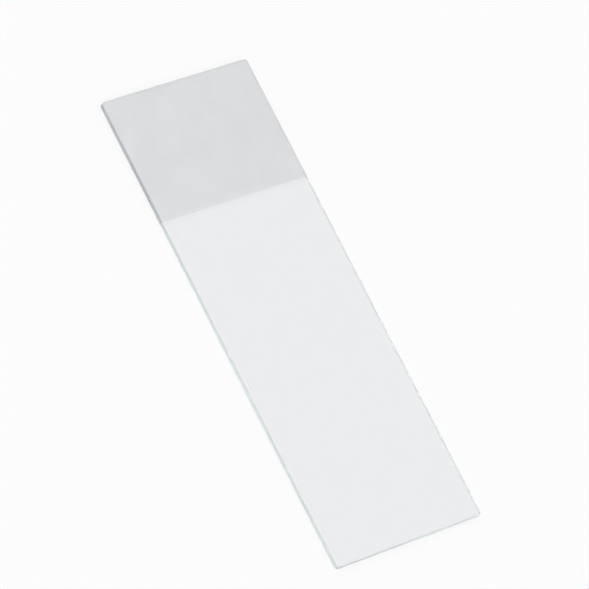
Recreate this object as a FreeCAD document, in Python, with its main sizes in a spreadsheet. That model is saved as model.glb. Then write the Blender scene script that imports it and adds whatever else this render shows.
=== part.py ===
"""Microscope slide with one frosted end: a flat plate of clear soda-lime glass.

The plate is one piece of glass, cut from drawn sheet. Its four upright corners are broken
with a small radius, and the rims of both faces are seamed with a small bevel, so that the
edge doesn't cut fingers or scratch the next slide in the pack. At one end the upper face
is frosted right across its width, by taking off a very thin layer: pencil marks hold there.

Frame, in millimetres: origin at the centre of the underside, +X along the length from the
frosted end to the clear end, +Y across the width, +Z up, out of the frosted face.
"""

import os

import FreeCAD
import Part
import Sketcher

PARTS_FOLDER = "parts"
ON_PLANE = 1e-6  # how near a point lies to a plane to count as on it

# Driving dimensions in millimetres: the cell's alias, its value, what it is.
SIZES = [
    ("slide_length", 76.2, "length of the glass, three inches"),
    ("slide_width", 25.4, "width of the glass, one inch"),
    ("glass_thickness", 1.0, "thickness of the glass sheet"),
    ("corner_radius", 0.5, "radius that breaks each upright corner"),
    ("rim_bevel", 0.12, "width of the 45 degree seam on each face's rim"),
    ("frosted_length", 20.0, "length of the frosted field, from its end of the glass"),
    ("frosted_depth", 0.02, "thickness of the layer that the frosting takes off"),
    ("outline_overrun", 1.0, "how far the frosting's outline runs past the glass"),
]


def make_size_sheet(doc):
    """The driving dimensions as a sheet, one aliased cell each."""
    sheet = doc.addObject("Spreadsheet::Sheet", "sizes")
    for row, (alias, value, meaning) in enumerate(SIZES, start=1):
        sheet.set(f"A{row}", alias)
        sheet.set(f"B{row}", str(value))
        sheet.set(f"C{row}", meaning)
        sheet.setAlias(f"B{row}", alias)
    doc.recompute()
    return sheet


def origin_plane(body, role):
    """One of the body's own origin planes, found by its role, such as XY_Plane."""
    return next(feature for feature in body.Origin.OriginFeatures if feature.Role == role)


def level_rectangle(body, name, reach, span, width, height):
    """A level rectangle, centred on the X axis, as a sketch bound to the sheet.

    Each size is an expression in the sheet's cells: reach is how far the rectangle's left
    side lies from the origin towards -X, span is its length along X from that side, width
    is its whole width along Y, and height is its level above the underside.
    """
    sketch = body.newObject("Sketcher::SketchObject", name)
    sketch.AttachmentSupport = [(origin_plane(body, "XY_Plane"), "")]
    sketch.MapMode = "FlatFace"
    sketch.setExpression("AttachmentOffset.Base.z", height)

    # The four sides are drawn roughly, and the constraints bring them to size.
    corners = [
        FreeCAD.Vector(-2, -1, 0),
        FreeCAD.Vector(-1, -1, 0),
        FreeCAD.Vector(-1, 1, 0),
        FreeCAD.Vector(-2, 1, 0),
    ]
    front, right, back, left = (
        sketch.addGeometry(Part.LineSegment(start, end), False)
        for start, end in zip(corners, corners[1:] + corners[:1])
    )
    start, end = 1, 2
    origin, x_axis = -1, -1
    sides = [front, right, back, left]
    for side, following in zip(sides, sides[1:] + sides[:1]):
        sketch.addConstraint(Sketcher.Constraint("Coincident", side, end, following, start))
    for side in (front, back):
        sketch.addConstraint(Sketcher.Constraint("Horizontal", side))
    sketch.addConstraint(Sketcher.Constraint("Vertical", right))
    sketch.addConstraint(Sketcher.Constraint("Symmetric", left, end, left, start, x_axis))

    bound = [
        ("reach", Sketcher.Constraint("DistanceX", front, start, origin, start, 2.0), reach),
        ("span", Sketcher.Constraint("DistanceX", front, start, front, end, 1.0), span),
        ("width", Sketcher.Constraint("DistanceY", right, start, right, end, 2.0), width),
    ]
    for label, constraint, expression in bound:
        index = sketch.addConstraint(constraint)
        sketch.renameConstraint(index, label)
        sketch.setExpression(f"Constraints.{label}", expression)
    body.Document.recompute()
    return sketch


def edge_names(shape, wanted):
    """The names, Edge1 and so on, of the shape's edges that pass a test."""
    return [f"Edge{n}" for n, edge in enumerate(shape.Edges, start=1) if wanted(edge)]


def is_upright(edge):
    """True for a straight edge that runs along Z."""
    low, high = edge.Vertexes[0].Point, edge.Vertexes[-1].Point
    return abs(low.x - high.x) < ON_PLANE and abs(low.y - high.y) < ON_PLANE


def is_on_rim(edge, thickness):
    """True for an edge that lies wholly in the underside or wholly in the upper face."""
    box = edge.BoundBox
    levels = (0.0, thickness)
    return any(
        abs(box.ZMin - level) < ON_PLANE and abs(box.ZMax - level) < ON_PLANE
        for level in levels
    )


def make_glass_slide(doc, sheet):
    """The slide: a pad with broken corners and seamed rims, and one shallow frosted pocket."""
    body = doc.addObject("PartDesign::Body", "glass_slide")
    body.Label = "glass_slide"

    outline = level_rectangle(
        body,
        "glass_outline",
        reach="sizes.slide_length / 2",
        span="sizes.slide_length",
        width="sizes.slide_width",
        height="0",
    )
    plate = body.newObject("PartDesign::Pad", "plate")
    plate.Profile = outline
    plate.setExpression("Length", "sizes.glass_thickness")
    doc.recompute()

    corners = body.newObject("PartDesign::Fillet", "broken_corners")
    corners.Base = (plate, edge_names(plate.Shape, is_upright))
    corners.setExpression("Radius", "sizes.corner_radius")
    doc.recompute()

    rims = body.newObject("PartDesign::Chamfer", "seamed_rims")
    rims.Base = (
        corners,
        edge_names(corners.Shape, lambda edge: is_on_rim(edge, sheet.glass_thickness)),
    )
    rims.setExpression("Size", "sizes.rim_bevel")
    doc.recompute()

    field = level_rectangle(
        body,
        "frosted_outline",
        reach="sizes.slide_length / 2 + sizes.outline_overrun",
        span="sizes.frosted_length + sizes.outline_overrun",
        width="sizes.slide_width + 2 * sizes.outline_overrun",
        height="sizes.glass_thickness",
    )
    frosting = body.newObject("PartDesign::Pocket", "frosted_field")
    frosting.Profile = field
    frosting.setExpression("Length", "sizes.frosted_depth")
    body.Tip = frosting
    doc.recompute()

    if not frosting.Shape.Volume < rims.Shape.Volume:
        raise RuntimeError("the frosted field took nothing off the glass")
    return body


def check_document(doc, pieces):
    """Stops with a message if any object failed, or if a piece isn't one sound solid."""
    for item in doc.Objects:
        if {"Invalid", "Error"} & set(item.State):
            raise RuntimeError(f"{item.Name} failed: {item.State}")
    for piece in pieces:
        shape = piece.Shape
        if shape.isNull() or not shape.isValid() or len(shape.Solids) != 1:
            raise RuntimeError(f"{piece.Label} isn't one valid solid")


def export_pieces(pieces):
    """Writes each piece to its own STEP file, named by its label."""
    os.makedirs(PARTS_FOLDER, exist_ok=True)
    for piece in pieces:
        piece.Shape.exportStep(os.path.join(PARTS_FOLDER, f"{piece.Label}.step"))
        box = piece.Shape.BoundBox
        print(
            f"{piece.Label}: {box.XLength:.3f} x {box.YLength:.3f} x {box.ZLength:.3f} mm,"
            f" {piece.Shape.Volume:.3f} mm3, {len(piece.Shape.Faces)} faces"
        )


doc = FreeCAD.newDocument("microscope_slide")
sizes = make_size_sheet(doc)
pieces = [make_glass_slide(doc, sizes)]
doc.recompute()
check_document(doc, pieces)
export_pieces(pieces)
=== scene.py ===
# %% [markdown]
# # A microscope slide with one frosted end
#
# A microscope slide is a single plate of clear glass, three inches by one inch and about a
# millimetre thick. It is cut from a large drawn sheet, its sharp rims are seamed so that they
# don't cut fingers, and one end of the upper face is frosted, so that a pencil can write on it.
#
# The plate's solid shape is already drawn to exact size. This lesson dresses it: it builds a
# finer skin of glass over the same sizes, gives it a glass that absorbs a little red light on
# the way through, and puts it on a white table under soft light.
#
# The size comes from the solid itself, so nothing here has to be fitted to it afterwards.

# %% Load the solid plate
import math

import bpy
import numpy as np
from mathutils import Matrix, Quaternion, Vector


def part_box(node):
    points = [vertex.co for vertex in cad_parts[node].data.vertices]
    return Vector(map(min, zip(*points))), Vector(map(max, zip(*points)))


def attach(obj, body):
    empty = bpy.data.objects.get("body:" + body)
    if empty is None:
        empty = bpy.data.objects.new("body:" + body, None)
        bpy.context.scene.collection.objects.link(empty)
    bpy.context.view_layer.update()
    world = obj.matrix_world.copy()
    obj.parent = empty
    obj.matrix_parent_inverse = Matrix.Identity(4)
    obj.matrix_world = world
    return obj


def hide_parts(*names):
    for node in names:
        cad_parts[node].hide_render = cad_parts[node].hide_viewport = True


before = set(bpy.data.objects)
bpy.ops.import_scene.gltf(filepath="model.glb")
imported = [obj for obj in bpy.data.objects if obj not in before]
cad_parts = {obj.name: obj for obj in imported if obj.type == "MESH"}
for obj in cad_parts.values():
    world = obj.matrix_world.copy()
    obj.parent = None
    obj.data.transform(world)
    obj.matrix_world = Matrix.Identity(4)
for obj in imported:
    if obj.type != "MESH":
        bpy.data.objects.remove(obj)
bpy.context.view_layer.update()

MM = 0.001  # Blender works in metres, and a slide is easier to think of in millimetres
low, high = (np.array(corner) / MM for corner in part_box("glass_slide"))
length, width, thickness = high - low
print(f"the plate is {length:.2f} x {width:.2f} x {thickness:.2f} mm")

# %% [markdown]
# ## The camera
#
# Flat glass shows almost nothing from straight above or from the side. A view from a little
# over halfway up shows both the face and the thin bright edge. A long lens from further away
# keeps the two long edges nearly parallel. The camera is aimed first and then rolled about
# its own line of sight, so that the slide lies steeply across the picture.

# %% Aim a long lens and roll it
AIM = Vector((-1.926, 2.109, 0.0)) * MM
DISTANCE = 699.5 * MM
TURN, ELEVATION, ROLL = (math.radians(angle) for angle in (25.11, 55.61, 41.72))

from_aim = Vector(
    (
        math.sin(TURN) * math.cos(ELEVATION),
        -math.cos(TURN) * math.cos(ELEVATION),
        math.sin(ELEVATION),
    )
)
camera_data = bpy.data.cameras.new("camera")
camera_data.lens, camera_data.sensor_width = 297.8, 36.0
camera_data.clip_start, camera_data.clip_end = 0.01, 50.0
camera = bpy.data.objects.new("camera", camera_data)
camera.rotation_mode = "QUATERNION"
camera.rotation_quaternion = (-from_aim).to_track_quat("-Z", "Y") @ Quaternion((0, 0, 1), ROLL)
camera.location = AIM + from_aim * DISTANCE
bpy.context.scene.collection.objects.link(camera)
bpy.context.scene.camera = camera
print("camera at", [round(v / MM, 1) for v in camera.location], "mm")

# %% [markdown]
# ## The glass, as a surface of two numbers
#
# A plain box would do for the plate's shape, but not for its look. Nearly everything that the
# eye reads as glass happens in the last tenth of a millimetre: the narrow seams along the rims
# catch the light, the sides are never quite flat, and a few tiny chips sparkle. A bevel
# modifier would round all rims alike, and leave no room for the chips.
#
# So the rim is made the way a picture frame is. A profile, which runs from the upper face over
# the seam, down the side and under the lower seam, is carried along a path, which is the
# outline of the plate. Each point of that strip is given by two numbers: how far along the
# path, and how far along the profile. This first cell makes the path.

# %% The path: a rectangle with broken corners
CORNER_RADIUS = 0.5
FROSTED_LENGTH, FROSTED_DEPTH, STEP_WIDTH = 20.0, 0.02, 0.1
FACE_INSET, FACE_CELL, STEPS_PER_CELL = 0.6, 1.0, 14
half_length, half_width = length / 2, width / 2
frost_edge = -half_length + FROSTED_LENGTH


def evenly(start, stop, longest):
    """Numbers from start to stop, evenly spaced, with no gap longer than longest."""
    return np.linspace(start, stop, int(np.ceil((stop - start) / longest)) + 1)


def carried_side(run, reach, lines):
    """One side of the outline, from the middle of one corner's arc to the middle of the next.

    The side is straight between two arcs of the corner radius. At the distance t from its
    start, the outward direction has turned from the side's own by the angle that the arc
    passed so far gives, so the point is the arc's centre plus the radius times that
    direction. Returns the place along the side, the place out from the middle, and the turn.
    """
    half_arc = CORNER_RADIUS * np.pi / 4
    straight = 2 * (run - CORNER_RADIUS)
    stations = half_arc + lines + straight / 2
    stations[0], stations[-1] = 0.0, 2 * half_arc + straight
    steps = np.arange((len(lines) - 1) * STEPS_PER_CELL) / STEPS_PER_CELL
    t = np.interp(steps, np.arange(len(lines)), stations) - half_arc
    turn = np.clip(t / CORNER_RADIUS, -np.pi / 4, 0) + np.clip(
        (t - straight) / CORNER_RADIUS, 0, np.pi / 4
    )
    along = np.clip(t, 0, straight) - straight / 2 + CORNER_RADIUS * np.sin(turn)
    out = reach - CORNER_RADIUS + CORNER_RADIUS * np.cos(turn)
    return along, out, turn


lines_x = np.concatenate(
    [
        evenly(-half_length + FACE_INSET, frost_edge - STEP_WIDTH / 2, FACE_CELL),
        evenly(frost_edge + STEP_WIDTH / 2, half_length - FACE_INSET, FACE_CELL),
    ]
)
lines_y = evenly(-half_width + FACE_INSET, half_width - FACE_INSET, FACE_CELL)

sides = [
    (half_length, half_width, lines_x, (1, 0), (0, -1)),
    (half_width, half_length, lines_y, (0, 1), (1, 0)),
    (half_length, half_width, -lines_x[::-1], (-1, 0), (0, 1)),
    (half_width, half_length, -lines_y[::-1], (0, -1), (-1, 0)),
]
path, outward = [], []
for run, reach, lines, along_way, out_way in sides:
    along, out, turn = carried_side(run, reach, lines)
    path.append(np.outer(along, along_way) + np.outer(out, out_way))
    outward.append(np.outer(np.sin(turn), along_way) + np.outer(np.cos(turn), out_way))
path, outward = np.concatenate(path), np.concatenate(outward)
gaps = np.linalg.norm(np.roll(path, -1, axis=0) - path, axis=1)
run_so_far = np.concatenate([[0.0], np.cumsum(gaps)[:-1]])
perimeter = gaps.sum()
print(f"the path has {len(path)} points over {perimeter:.1f} mm")

# %% [markdown]
# ## What cutting and grinding left
#
# A glazier's wheel scores the sheet, the glass snaps along the score, and a fine belt then
# grinds the sides and seams the rims. The sides still wander by a hundredth of a millimetre or
# so, the belt takes off a little more here and a little less there, and now and then the rim
# loses a shell-shaped flake. All three are functions of the distance along the path, which is
# simpler than pushing single points about by hand. They only ever take glass away, so the
# plate never grows past its exact size.

# %% Wander, seam width and chips along the rim
SEAM, SIDE_WANDER = 0.12, 0.010  # a seam's full width, and how far a side strays inwards
UPPER_UNEVEN, LOWER_UNEVEN = 0.06, 0.08  # the share of a seam's width that comes and goes
CHIP_HALF = 0.15  # half a chip's length, to which a deeper chip adds
rng = np.random.default_rng(7)


def wander(first, last):
    """A smooth closed curve round the rim, from 0 to 1: a sum of sine waves that each fit a
    whole number of times round, from first to last, the longer ones taller."""
    waves = np.arange(first, last + 1)
    heights = rng.normal(size=len(waves)) / np.sqrt(waves)
    phases = rng.uniform(0, 2 * np.pi, len(waves))
    curve = np.sin(2 * np.pi * np.outer(run_so_far / perimeter, waves) + phases) @ heights
    return (curve - curve.min()) / np.ptp(curve)


def chips(count, smallest, largest):
    """How deep the rim is chipped at each point: each chip is a smooth hump, the square of one
    less the distance from its middle squared, and where two meet the deeper one counts."""
    middles = rng.uniform(0, perimeter, count)
    depths = smallest + (largest - smallest) * rng.uniform(0, 1, count) ** 2
    halves = CHIP_HALF + depths * rng.uniform(2.0, 4.0, count)
    away = np.abs(run_so_far[:, None] - middles)
    away = np.minimum(away, perimeter - away)
    return (depths * np.clip(1 - (away / halves) ** 2, 0, None) ** 2).max(axis=1)


side_wander = SIDE_WANDER * wander(2, 12)
upper_chips, lower_chips = chips(5, 0.02, 0.05), chips(9, 0.02, 0.08)
upper_seam = SEAM * (1 - UPPER_UNEVEN + UPPER_UNEVEN * wander(3, 16)) + upper_chips
lower_seam = SEAM * (1 - LOWER_UNEVEN + LOWER_UNEVEN * wander(3, 16)) + lower_chips
print(f"seams from {upper_seam.min():.3f} to {upper_seam.max():.3f} mm wide")

# %% [markdown]
# ## The seams and the sides
#
# A seam is a slope of 45 degrees that takes the sharp corner off a rim, narrow enough to be
# seen only as a line of light. Here the profile goes across the path: each of its points has an
# inset, which is how far in from the outline it lies, and a height. Numpy works out all
# profiles at once, as one array with a row for each step of the profile and a column for each
# step of the path.


# %% The strip: the profile carried along the path
SEAM_STEPS, SIDE_STEPS = 6, 9
SCOOP, BOW = 0.35, 0.006  # a chip's hollow as a share of its depth, and how far a side bulges


def sunk(x):
    """How far the upper face lies below the clear glass: nothing past the frosting's edge, and
    the frosting's depth before it, with an even ramp between."""
    return FROSTED_DEPTH * np.clip((frost_edge - x) / STEP_WIDTH + 0.5, 0, 1)


def seam_profile(share, width_there, chipped):
    """A seam from the face (share 0) to the side (share 1): a straight 45 degree slope that is
    scooped out like a shell where the rim is chipped. Returns inset and drop."""
    scoop = SCOOP * chipped * np.sin(np.pi * share)
    return width_there * (1 - share) + scoop, width_there * share + scoop


share = np.linspace(0, 1, SEAM_STEPS)[:, None]
recess = sunk(path[:, 0])
face_level = thickness - recess
upper_inset, upper_drop = seam_profile(share, upper_seam - recess, upper_chips)
lower_inset, lower_drop = seam_profile(1 - share, lower_seam, lower_chips)
down = np.linspace(0, 1, SIDE_STEPS + 2)[1:-1, None]
side_top, side_foot = face_level - (upper_seam - recess), lower_seam
side_height = side_top + (side_foot - side_top) * down
side_bow = BOW * (1 - np.sin(np.pi * down)) * np.ones_like(side_height)

inset = np.concatenate([upper_inset, side_bow, lower_inset]) + side_wander
height = np.concatenate([face_level - upper_drop, side_height, lower_drop])
rim_points = np.concatenate(
    [path - inset[..., None] * outward, height[..., None]], axis=2
)  # profile step, path step, xyz
print("the rim strip is", rim_points.shape[0], "by", rim_points.shape[1], "points")

# %% [markdown]
# ## The two faces
#
# Sheet glass is flat to a few thousandths of a millimetre, so the faces are plain grids. The
# frosting takes off a layer that is thinner than a hair, and leaves a low step right across the
# upper face. The grids are coarse and the rim is fine, so a band of triangles joins them. One
# closed skin is worth the trouble: light that runs inside the glass finds no gap to leave by,
# and the colour of the glass can be given to what lies inside the skin.


# %% The two flat faces, and the bands that join them to the rim
def face_points(level):
    """A grid over the inner rectangle, at the height that level gives for each x."""
    x, y = np.meshgrid(lines_x, lines_y, indexing="ij")
    return np.stack([x, y, level(x)], axis=2).reshape(-1, 3)


upper = face_points(lambda x: thickness - sunk(x))
lower = face_points(lambda x: 0 * x)
n_rim, n_path, n_face = rim_points.shape[0], len(path), len(upper)
points = np.concatenate([rim_points.reshape(-1, 3), upper, lower])

rim_index = np.arange(n_rim * n_path).reshape(n_rim, n_path)
beside = np.roll(rim_index, -1, axis=1)
strip = np.stack([rim_index[:-1], rim_index[1:], beside[1:], beside[:-1]], axis=2).reshape(-1, 4)

grid = np.arange(n_face).reshape(len(lines_x), len(lines_y))
cells = np.stack([grid[:-1, :-1], grid[1:, :-1], grid[1:, 1:], grid[:-1, 1:]], axis=2)
cells = cells.reshape(-1, 4)
border = np.concatenate([grid[:-1, 0], grid[-1, :-1], grid[:0:-1, -1], grid[0, :0:-1]])


def joining(rim_row, face_start):
    """The band of triangles between a face's border and the rim. Beside each border edge, the
    path's finer steps are joined to the edge's first point for the first half of the way and
    to its last point for the second half, and one triangle closes the gap between them."""
    first = np.arange(len(border))[:, None] * STEPS_PER_CELL
    fine = rim_index[rim_row][(first + np.arange(STEPS_PER_CELL + 1)) % n_path]
    near = np.repeat((face_start + border)[:, None], STEPS_PER_CELL, axis=1)
    far = np.roll(near, -1, axis=0)
    halfway = STEPS_PER_CELL // 2
    inner = np.where(np.arange(STEPS_PER_CELL) < halfway, near, far)
    fans = np.stack([inner, fine[:, :-1], fine[:, 1:]], axis=2).reshape(-1, 3)
    return np.concatenate([fans, np.stack([near[:, 0], fine[:, halfway], far[:, 0]], axis=1)])


upper_start, lower_start = n_rim * n_path, n_rim * n_path + n_face
upper_band, lower_band = joining(0, upper_start), joining(n_rim - 1, lower_start)[:, ::-1]
print(len(upper_band) + len(lower_band), "triangles join the faces to the rim")

# %% One mesh, with the seams and the sides marked
CREASE = math.radians(24)  # edges that bend more than this stay sharp
faces = (
    strip.tolist()
    + (upper_start + cells).tolist()
    + (lower_start + cells[:, ::-1]).tolist()
    + upper_band.tolist()
    + lower_band.tolist()
)
skin = bpy.data.meshes.new("slide_glass_skin")
skin.from_pydata((points * MM).tolist(), [], faces)
skin.polygons.foreach_set("use_smooth", np.ones(len(skin.polygons), dtype=bool))
skin.set_sharp_from_angle(angle=CREASE)

ring = np.arange(n_rim)
from_face = np.minimum(ring, n_rim - 1 - ring)  # rings counted inwards from the nearer face
for name, rings in [
    ("ground_seam", (from_face > 0) & (from_face < SEAM_STEPS - 1)),
    ("ground_side", from_face >= SEAM_STEPS - 1),
]:
    marks = np.zeros(len(points), dtype=np.float32)
    marks[rim_index[rings].ravel()] = 1.0
    skin.attributes.new(name, "FLOAT", "POINT").data.foreach_set("value", marks)
skin.update()
slide = bpy.data.objects.new("slide_glass_skin", skin)
bpy.context.scene.collection.objects.link(slide)
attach(slide, "root")
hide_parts("glass_slide")
skin.calc_loop_triangles()
print(len(skin.vertices), "points,", len(skin.loop_triangles), "triangles")

# %% [markdown]
# ## Writing materials as sums
#
# A material is a graph of small nodes. Wiring them by hand hides the idea, so one small class
# stands for a socket: adding or multiplying two of them makes the Math node that does it. The
# bench below makes every other kind of node, its settings first and then what feeds it.


# %% A socket that can be added and multiplied
class Wire:
    """One output socket. Arithmetic on it adds Math nodes to its tree."""

    def __init__(self, bench, socket):
        self.bench, self.socket = bench, socket

    def maths(self, operation, first, second):
        return self.bench.node("Math", {"operation": operation}, {0: first, 1: second})

    def __add__(self, other):
        return self.maths("ADD", self, other)

    def __sub__(self, other):
        return self.maths("SUBTRACT", self, other)

    def __rsub__(self, other):
        return self.maths("SUBTRACT", other, self)

    def __mul__(self, other):
        return self.maths("MULTIPLY", self, other)

    def __or__(self, other):
        """Either of two masks: the larger of the two."""
        return self.maths("MAXIMUM", self, other)

    __radd__, __rmul__ = __add__, __mul__


class Bench:
    """A node tree, with one method that makes a node."""

    def __init__(self, tree):
        self.tree = tree
        tree.nodes.clear()

    def node(self, kind, settings=None, feeds=None, output=0):
        """A node by its type, its settings, then its inputs by name or number: a Wire is
        linked and anything else is a plain value. Returns the output that was asked for, and
        nothing from a node that has none."""
        made = self.tree.nodes.new("ShaderNode" + kind)
        for name, value in (settings or {}).items():
            setattr(made, name, value)
        for name, value in (feeds or {}).items():
            if isinstance(value, Wire):
                self.tree.links.new(value.socket, made.inputs[name])
            else:
                made.inputs[name].default_value = value
        return Wire(self, made.outputs[output]) if made.outputs else None

    def smooth_step(self, value, start, end):
        """0 up to start, 1 from end, and an S-shaped rise between them."""
        return self.node(
            "MapRange",
            {"interpolation_type": "SMOOTHSTEP"},
            {"Value": value, "From Min": start, "From Max": end},
        )

    def noise(self, where, size, detail=2.0, stretch=(1, 1, 1)):
        """Cloudy noise whose blobs are about size metres across, times stretch."""
        placed = self.node(
            "Mapping", {}, {"Vector": where, "Scale": [1 / (size * s) for s in stretch]}
        )
        return self.node("TexNoise", {}, {"Vector": placed, "Scale": 1.0, "Detail": detail})


# %% [markdown]
# ## Where each finish is
#
# One piece of glass wears four finishes: it is clear on the faces, frosted on the upper face at
# one end, coarsely ground on the seams, and finely ground on the sides. Each gets a mask, which
# is 1 where the finish is and 0 elsewhere. The frosted field is found by its place, since it
# has a straight border across the plate. The seams and the sides were marked on the mesh.

# %% Masks: frosting, seams and sides
GRAIN, RAGGED, BORDER = 0.35 * MM, 0.08 * MM, 0.03 * MM  # of the frosting's border
FACE_FROM, FACE_TO = 0.955 * MM, 0.965 * MM  # heights at which the rim gives way to the face
glass = bpy.data.materials.new("soda_lime_glass")
glass.use_nodes = True
bench = Bench(glass.node_tree)
here = bench.node("TexCoord", output="Object")
x = bench.node("SeparateXYZ", {}, {0: here}, "X")
z = bench.node("SeparateXYZ", {}, {0: here}, "Z")

ragged_x = x + (bench.noise(here, GRAIN, 3.0) - 0.5) * RAGGED
frosted_end = bench.smooth_step(
    ragged_x * -1.0, -frost_edge * MM - BORDER, -frost_edge * MM + BORDER
)
on_upper_face = bench.smooth_step(z, FACE_FROM, FACE_TO)
frost = frosted_end * on_upper_face
seam = bench.node("Attribute", {"attribute_name": "ground_seam"}, output="Fac") * (1 - frost)
side = bench.node("Attribute", {"attribute_name": "ground_side"}, output="Fac")
print(f"the frosting ends at x = {frost_edge:.2f} mm, ragged by {RAGGED / 2 / MM:.2f} mm")

# %% [markdown]
# ## Grit, grinding marks and smears
#
# Frosted glass is covered in pits a tenth of a millimetre across and less, and it is a little
# denser in some places than in others. A grinding belt leaves fine marks that run along each
# side. A face that has been handled and wiped is slightly duller in long smears. All of these
# are noise at three sizes, stretched where the finish has a direction. They drive roughness
# and bump, because a change of colour alone would look printed on.

# %% Roughness and bump
grit = bench.smooth_step(bench.noise(here, 0.09 * MM, 3.0), 0.30, 0.70)
clouds = bench.smooth_step(bench.noise(here, 5.0 * MM, 4.0), 0.30, 0.70)
smears = bench.smooth_step(bench.noise(here, 14 * MM, 3.0, stretch=(2.2, 0.6, 1)), 0.45, 0.75)
belt_marks = bench.noise(here, 0.09 * MM, 3.0, stretch=(12, 12, 1))

clear_roughness = 0.012 + 0.03 * smears
side_roughness = side * (0.27 + 0.10 * belt_marks)
ground_roughness = (frost + seam * 0.8) * (0.50 + 0.10 * clouds)
roughness = clear_roughness + side_roughness + ground_roughness

ground_relief = bench.node(
    "Bump", {}, {"Strength": 0.4, "Distance": 0.03 * MM, "Height": (frost + seam) * grit}
)
relief = bench.node(
    "Bump",
    {},
    {
        "Strength": 0.1,
        "Distance": 0.02 * MM,
        "Height": side * belt_marks,
        "Normal": ground_relief,
    },
)
print(len(glass.node_tree.nodes), "nodes so far")

# %% [markdown]
# ## Clear glass under a ground crust
#
# Ground glass is a crust of tiny pits, which throws light in every direction. Roughness alone
# can't show that, because Cycles lets a ray scatter only once at a rough surface and so loses
# much of its light. The crust is therefore a matt shader, mixed over the clear glass by the
# share of the surface that the pits take up.
#
# On the frosted field the crust is grey, and so dense that little light gets through it. On the
# On the seams and the sides it is nearly white and lets most of the light through, except at the
# frosted end, where the rim takes the frosted field's grey and so comes out darker.

# %% The shader: clear glass, and the crust mixed over it
GLASS_IOR = 1.52
CLEAR = (0.897, 0.904, 0.914, 1)
GREY_DARK, GREY_LIGHT = (0.66, 0.672, 0.686, 1), (0.77, 0.781, 0.795, 1)
PALE = (0.97, 0.98, 0.98, 1)
THIN_CRUST, THICK_CRUST = 0.66, 0.78  # the least and most of the surface that the pits cover

clear_glass = bench.node(
    "BsdfPrincipled",
    {},
    {
        "Base Color": CLEAR,
        "Roughness": roughness,
        "IOR": GLASS_IOR,
        "Transmission Weight": 1.0,
        "Normal": relief,
    },
)
pale_rim = (seam + side) * (1 - frosted_end)
frosted_grey = bench.node(
    "Mix",
    {"data_type": "RGBA"},
    {0: 0.35 * clouds + 0.65 * grit, 6: GREY_DARK, 7: GREY_LIGHT},
    output=2,
)
crust_colour = bench.node(
    "Mix", {"data_type": "RGBA"}, {0: pale_rim, 6: frosted_grey, 7: PALE}, output=2
)
matt_crust = bench.node(
    "BsdfPrincipled",
    {},
    {
        "Base Color": crust_colour,
        "Roughness": 0.85,
        "IOR": GLASS_IOR,
        "Specular IOR Level": 0.35,
        "Normal": relief,
    },
)
grey_middle = [(dark + light) / 2 for dark, light in zip(GREY_DARK, GREY_LIGHT)]
grey_glow = bench.node("BsdfTranslucent", {}, {"Color": grey_middle, "Normal": relief})
pale_glow = bench.node("BsdfTranslucent", {}, {"Color": PALE, "Normal": relief})
glow_through = bench.node("MixShader", {}, {0: pale_rim, 1: grey_glow, 2: pale_glow})
let_through = 0.06 + 0.74 * (seam + side)
crust = bench.node("MixShader", {}, {0: let_through, 1: matt_crust, 2: glow_through})
crust_cover = THIN_CRUST + (THICK_CRUST - THIN_CRUST) * grit
crust_share = (frost + 0.5 * seam + 0.7 * side) * crust_cover
surface = bench.node("MixShader", {}, {0: crust_share, 1: clear_glass, 2: crust})
print(f"the crust covers {THIN_CRUST:.0%} to {THICK_CRUST:.0%} of the frosted field")

# %% [markdown]
# ## The green of the edge
#
# Window glass and slide glass hold a trace of iron, which takes a little more of the red and
# so leaves the rest blue-green. Across one millimetre nobody sees it. Along the plate, where
# light runs inside the glass for centimetres, the edge turns sea green. A tint on the surface
# would colour the face as much as the edge, so the colour has to come from the volume: it
# takes a share of the light for every metre travelled inside.

# %% Absorption inside the glass
LOST_PER_METRE = np.array([4.4, 1.5, 1.8])  # how steeply red, green and blue light die away
density = LOST_PER_METRE.max() * 1.2  # a little above the steepest, so no colour share is 0
volume = bench.node(
    "VolumeAbsorption",
    {},
    {"Color": (*(1 - LOST_PER_METRE / density), 1), "Density": density},
)
bench.node("OutputMaterial", {}, {"Surface": surface, "Volume": volume})
skin.materials.append(glass)
kept = np.exp(-LOST_PER_METRE * width * MM)
print("light kept across the width, red green blue:", kept.round(3))

# %% [markdown]
# ## A white table
#
# The slide lies on a wide matt table top. Its squares are small in the middle and large far
# out, so a few hundred of them reach the horizon. The table stops a hair's breadth under the
# glass, because two surfaces in exactly the same place flicker against each other.
#
# Paper lit to just under full white still comes out a little grey round the slide, and raising
# the lamps would wash out the glass. So the table is also a sheet of opal, which the white room
# lights from beneath. It shows that light only to rays that look at it: straight, mirrored, or
# through the glass. The rest of its white is lit from above, and keeps the soft shadow under
# the rim.

# %% The table top
TABLE_REACH, TABLE_GAP = 6.0, 0.03 * MM
span = np.linspace(-1, 1, 25)
spread = span * np.abs(span) * TABLE_REACH
table_x, table_y = np.meshgrid(spread, spread)
table_points = np.stack([table_x, table_y, np.full_like(table_x, -TABLE_GAP)], axis=2)
spots = np.arange(span.size**2).reshape(span.size, span.size)
table_faces = np.stack([spots[:-1, :-1], spots[:-1, 1:], spots[1:, 1:], spots[1:, :-1]], axis=2)
table_mesh = bpy.data.meshes.new("white_table")
table_mesh.from_pydata(
    table_points.reshape(-1, 3).tolist(), [], table_faces.reshape(-1, 4).tolist()
)
table = bpy.data.objects.new("white_table", table_mesh)
bpy.context.scene.collection.objects.link(table)
print("the table has", len(table_mesh.polygons), "squares")

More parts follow.
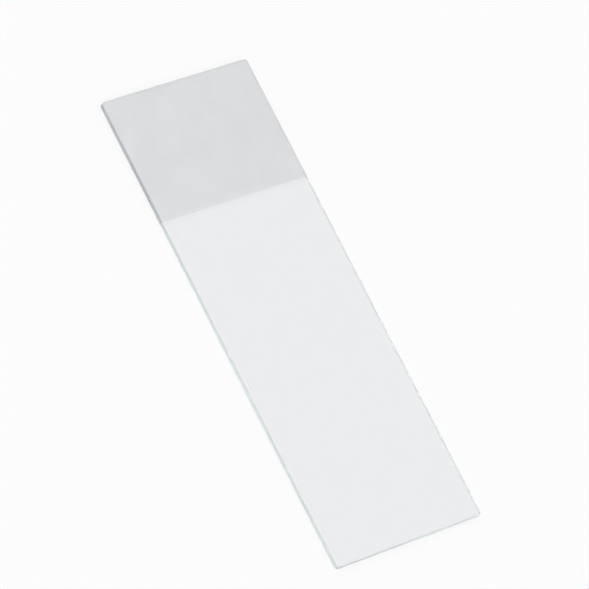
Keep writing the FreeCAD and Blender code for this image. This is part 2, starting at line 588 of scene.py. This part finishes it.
# %% Matt from above, opal from beneath
white = bpy.data.materials.new("opal_white")
white.use_nodes = True
bench = Bench(white.node_tree)
TABLE_WHITE, FROM_BENEATH = (0.975, 0.975, 0.975, 1), 0.75
matt = bench.node("BsdfDiffuse", {}, {"Color": TABLE_WHITE})
opal = bench.node("BsdfTranslucent", {}, {"Color": TABLE_WHITE})
seen = bench.node("LightPath", output="Is Camera Ray")
mirrored = bench.node("LightPath", output="Is Glossy Ray")
through_glass = bench.node("LightPath", output="Is Transmission Ray")
looked_at = seen | mirrored | through_glass
table_top = bench.node("MixShader", {}, {0: looked_at * FROM_BENEATH, 1: matt, 2: opal})
bench.node("OutputMaterial", {}, {"Surface": table_top})
table_mesh.materials.append(white)
print(f"{FROM_BENEATH:.0%} of the white that is looked at comes from beneath")

# %% [markdown]
# ## A pale room
#
# Glass has no look of its own: it shows the room. If everything about it were equally white, it
# would vanish. So the room is white up to table height and dims towards the ceiling. The faces
# mirror the dimmer part and come out a shade darker than the table, and the edges, which bend
# the view up or sideways, come out darker still. A world that depends only on how far up a ray
# looks is simpler than walls, and casts no shadows of its own.
#
# Two very wide lamps, well up on either side, give the soft light a direction. Neither stands
# where the upper face would mirror it into the lens. What they add is worked out so that room
# and lamps together light the table to full white and no more, and colours come out as written.

# %% Light from the walls and the ceiling
WALL, CEILING, CEILING_FROM = 1.0, 0.7, 0.5  # two levels, and how far up the dimming ends
world = bpy.data.worlds.new("pale_room")
bpy.context.scene.world = world
world.use_nodes = True
bench = Bench(world.node_tree)
direction = bench.node("TexCoord", output="Generated")
upward = bench.node("SeparateXYZ", {}, {0: direction}, "Z")
level = WALL + (CEILING - WALL) * bench.smooth_step(upward, 0.0, CEILING_FROM)
glow = bench.node("Background", {}, {"Color": (1, 1, 1, 1), "Strength": level})
bench.node("OutputWorld", {}, {"Surface": glow})

sine = np.sqrt((np.arange(500) + 0.5) / 500)  # rings of sky that light the table equally
rise = np.clip(sine / CEILING_FROM, 0, 1)
from_room = float(np.mean(WALL + (CEILING - WALL) * rise * rise * (3 - 2 * rise)))
print(f"the room lights the table to {from_room:.2f} of full white")

# %% Two wide lamps
LAMPS = [  # turn from the front towards the right, elevation, width in degrees, share
    ("key", -62.0, 60.0, 50.0, 0.58),
    ("fill", 112.0, 60.0, 50.0, 0.42),
]
for name, turn_deg, up_deg, wide_deg, part in LAMPS:
    turn, up = math.radians(turn_deg), math.radians(up_deg)
    lamp_data = bpy.data.lights.new(name, "SUN")
    lamp_data.angle = math.radians(wide_deg)
    lamp_data.energy = (1 - from_room) * math.pi * part / math.sin(up)
    lamp = bpy.data.objects.new(name, lamp_data)
    towards = Vector(
        (math.sin(turn) * math.cos(up), -math.cos(turn) * math.cos(up), math.sin(up))
    )
    lamp.rotation_mode = "QUATERNION"
    lamp.rotation_quaternion = (-towards).to_track_quat("-Z", "Y")
    lamp.location = towards
    bpy.context.scene.collection.objects.link(lamp)
    print(f"{name} lamp: {lamp_data.energy:.3f} watts per square metre")

# %% [markdown]
# ## Long paths for light
#
# Light that enters a slide's edge is mirrored from face to face a dozen times or more before
# it leaves at the other side. Cycles gives up after four mirrorings unless it is told to go
# on, and the edges would come out black.
#
# The finished picture is cleaned of grain. The cleaning usually leans on two helper pictures,
# one of colours and one of slopes. Seen through the rim of the glass, the slopes are grainy
# too and would turn a smooth edge into a string of beads, so here it leans on the colours
# alone. That is also why the table is opal and not a lamp: the helper picture shows the colour
# of what light falls on, and a lamp is black in it.

# %% Let light bounce inside the plate
cycles = bpy.context.scene.cycles
MIRRORINGS = 48
cycles.max_bounces = cycles.glossy_bounces = cycles.transmission_bounces = MIRRORINGS
cycles.blur_glossy = 0.0
cycles.denoising_input_passes = "RGB_ALBEDO"
bpy.context.scene.view_settings.view_transform = "Standard"
print("a path of light may have", cycles.max_bounces, "bounces")
